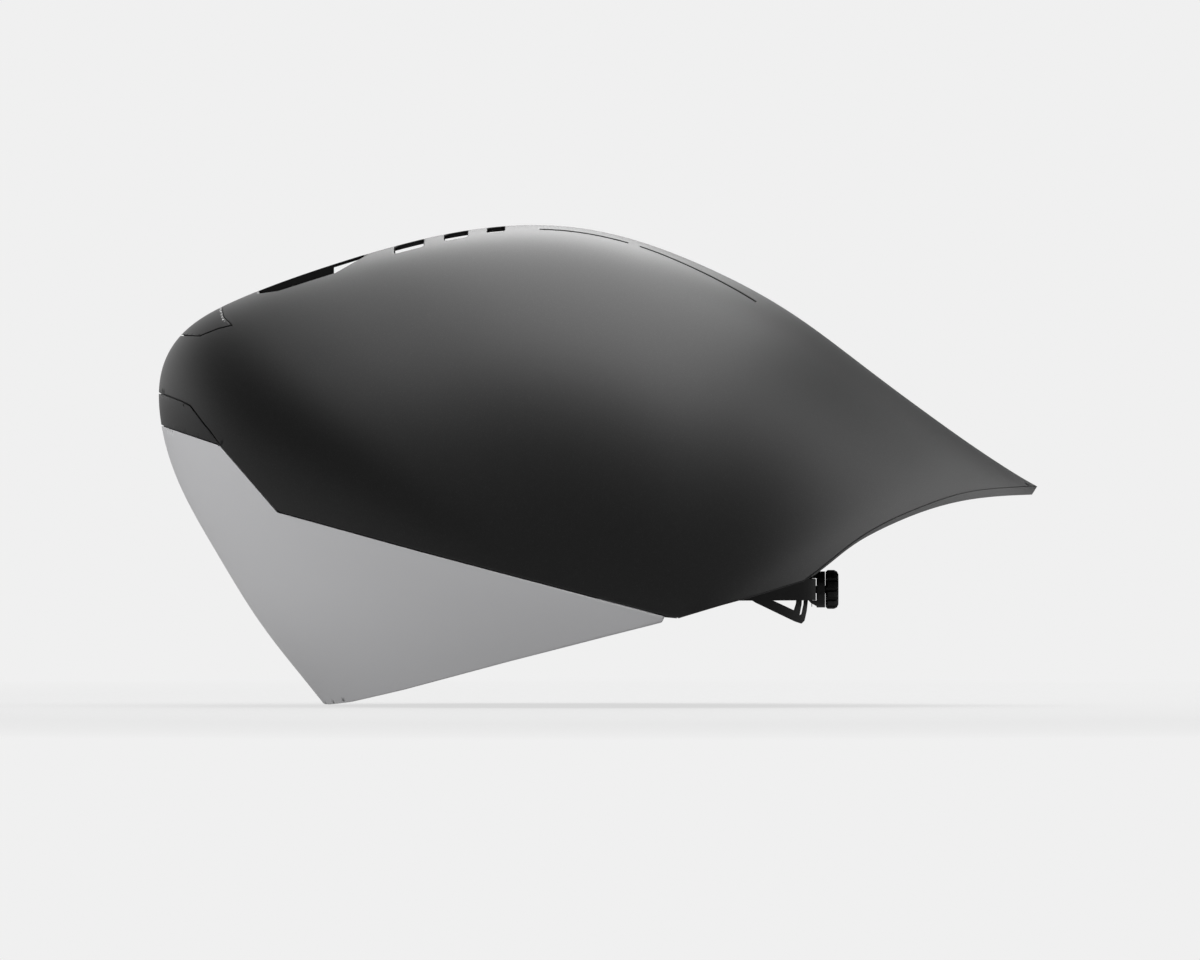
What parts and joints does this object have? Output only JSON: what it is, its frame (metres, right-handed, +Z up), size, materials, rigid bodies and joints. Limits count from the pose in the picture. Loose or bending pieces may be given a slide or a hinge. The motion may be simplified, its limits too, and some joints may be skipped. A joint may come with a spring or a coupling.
{
  "type": "aero time trial helmet",
  "caption": "Aero cycling helmet with a short pointed tail, a flush mirrored face shield held by magnets, a foam liner, straps and a dial-closed fit cradle.",
  "frame": {"origin": "middle of the head cavity, midway between the wearer's ears at the height of the brow pad's lower edge", "axes": "+Z up, +Y towards the tail, so the front faces -Y, and +X towards the wearer's left"},
  "size_m": [0.2798, 0.4392, 0.2395],
  "materials": {
    "shell_black": "matte",
    "tray_black": "gloss",
    "shield_mirror": "gloss",
    "seat_black": "satin",
    "magnet_steel": "satin",
    "liner_foam": "matte",
    "pad_fabric": "matte",
    "web_fabric": "matte",
    "fitting_black": "satin",
    "fit_black": "satin",
    "band_black": "satin",
    "dial_black": "matte",
    "screw_steel": "satin"
  },
  "bodies": {
    "helmet": {"outer_shell": "shell_black", "brow_panel": "shell_black", "crest_panel": "shell_black", "shield_seat": "seat_black", "seat_magnets": "magnet_steel", "inlet_tray": "tray_black", "tail_underpanel": "shell_black", "rim_trim": "seat_black", "band_posts": "fitting_black", "strap_anchors": "fitting_black", "foam_liner": "liner_foam", "brow_pad": "pad_fabric", "crown_pad_left": "pad_fabric", "crown_pad_right": "pad_fabric", "crown_pad_rear": "pad_fabric", "rear_pad_left": "pad_fabric", "rear_pad_right": "pad_fabric", "web_front_left": "web_fabric", "web_front_right": "web_fabric", "web_rear_left": "web_fabric", "web_rear_right": "web_fabric", "web_chin_left": "web_fabric", "web_chin_right": "web_fabric", "strap_divider_left": "fitting_black", "strap_divider_right": "fitting_black", "buckle_socket": "fitting_black", "buckle_prongs": "fitting_black", "height_socket": "fit_black"},
    "shield": {"shield_lens": "shield_mirror", "shield_magnets": "magnet_steel"},
    "fit_carrier": {"fit_cradle": "fit_black", "nape_pads": "pad_fabric", "dial_housing": "fit_black", "housing_cover": "fit_black", "housing_screws": "screw_steel"},
    "dial": {"dial_knob": "dial_black", "dial_pinion": "fit_black"},
    "left_band": {"band_left": "band_black"},
    "right_band": {"band_right": "band_black"}
  },
  "joints": [
    {"name": "shield_release", "type": "slide", "parent": "helmet", "child": "shield", "axis": [0, -1, 0], "range_m": [0, 0.12]},
    {"name": "height_adjust", "type": "slide", "parent": "helmet", "child": "fit_carrier", "axis": [0, 0, 1], "range_m": [-0.01, 0]},
    {"name": "dial_turn", "type": "hinge", "parent": "fit_carrier", "child": "dial", "pos_m": [0, 0.11, -0.0247], "axis": [0, 1, 0], "range_deg": [-100, 100]},
    {"name": "left_band_slide", "type": "slide", "parent": "fit_carrier", "child": "left_band", "axis": [1, 0, 0], "range_m": [-0.005, 0.005]},
    {"name": "right_band_slide", "type": "slide", "parent": "fit_carrier", "child": "right_band", "axis": [-1, 0, 0], "range_m": [-0.005, 0.005]}
  ],
  "couplings": [
    {"joint": "left_band_slide", "follows": "dial_turn", "m_per_rad": 0.0028},
    {"joint": "right_band_slide", "follows": "dial_turn", "m_per_rad": 0.0028}
  ]
}
